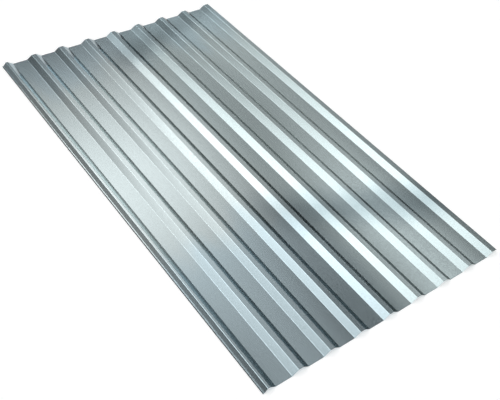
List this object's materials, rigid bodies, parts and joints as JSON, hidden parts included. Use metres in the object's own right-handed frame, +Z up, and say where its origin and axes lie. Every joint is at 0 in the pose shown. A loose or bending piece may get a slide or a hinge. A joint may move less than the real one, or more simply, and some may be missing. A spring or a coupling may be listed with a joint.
{
  "type": "corrugated metal sheet",
  "caption": "Galvanised steel roofing sheet with flat pans between low trapezoidal ribs and a side-lap rib along each long edge.",
  "frame": {"origin": "under the middle of the sheet, at the level its pans lie on", "axes": "+Y along the ribs, +X across them from the narrow underlap edge to the overlap edge, +Z up out of the weather face"},
  "size_m": [1.1392, 2, 0.0185],
  "materials": {
    "galvanised_steel": "hot-dip galvanised, smooth and satin-bright, with a slight blue-green cast"
  },
  "bodies": {
    "root": {"profiled_sheet": "galvanised_steel"}
  },
  "joints": []
}
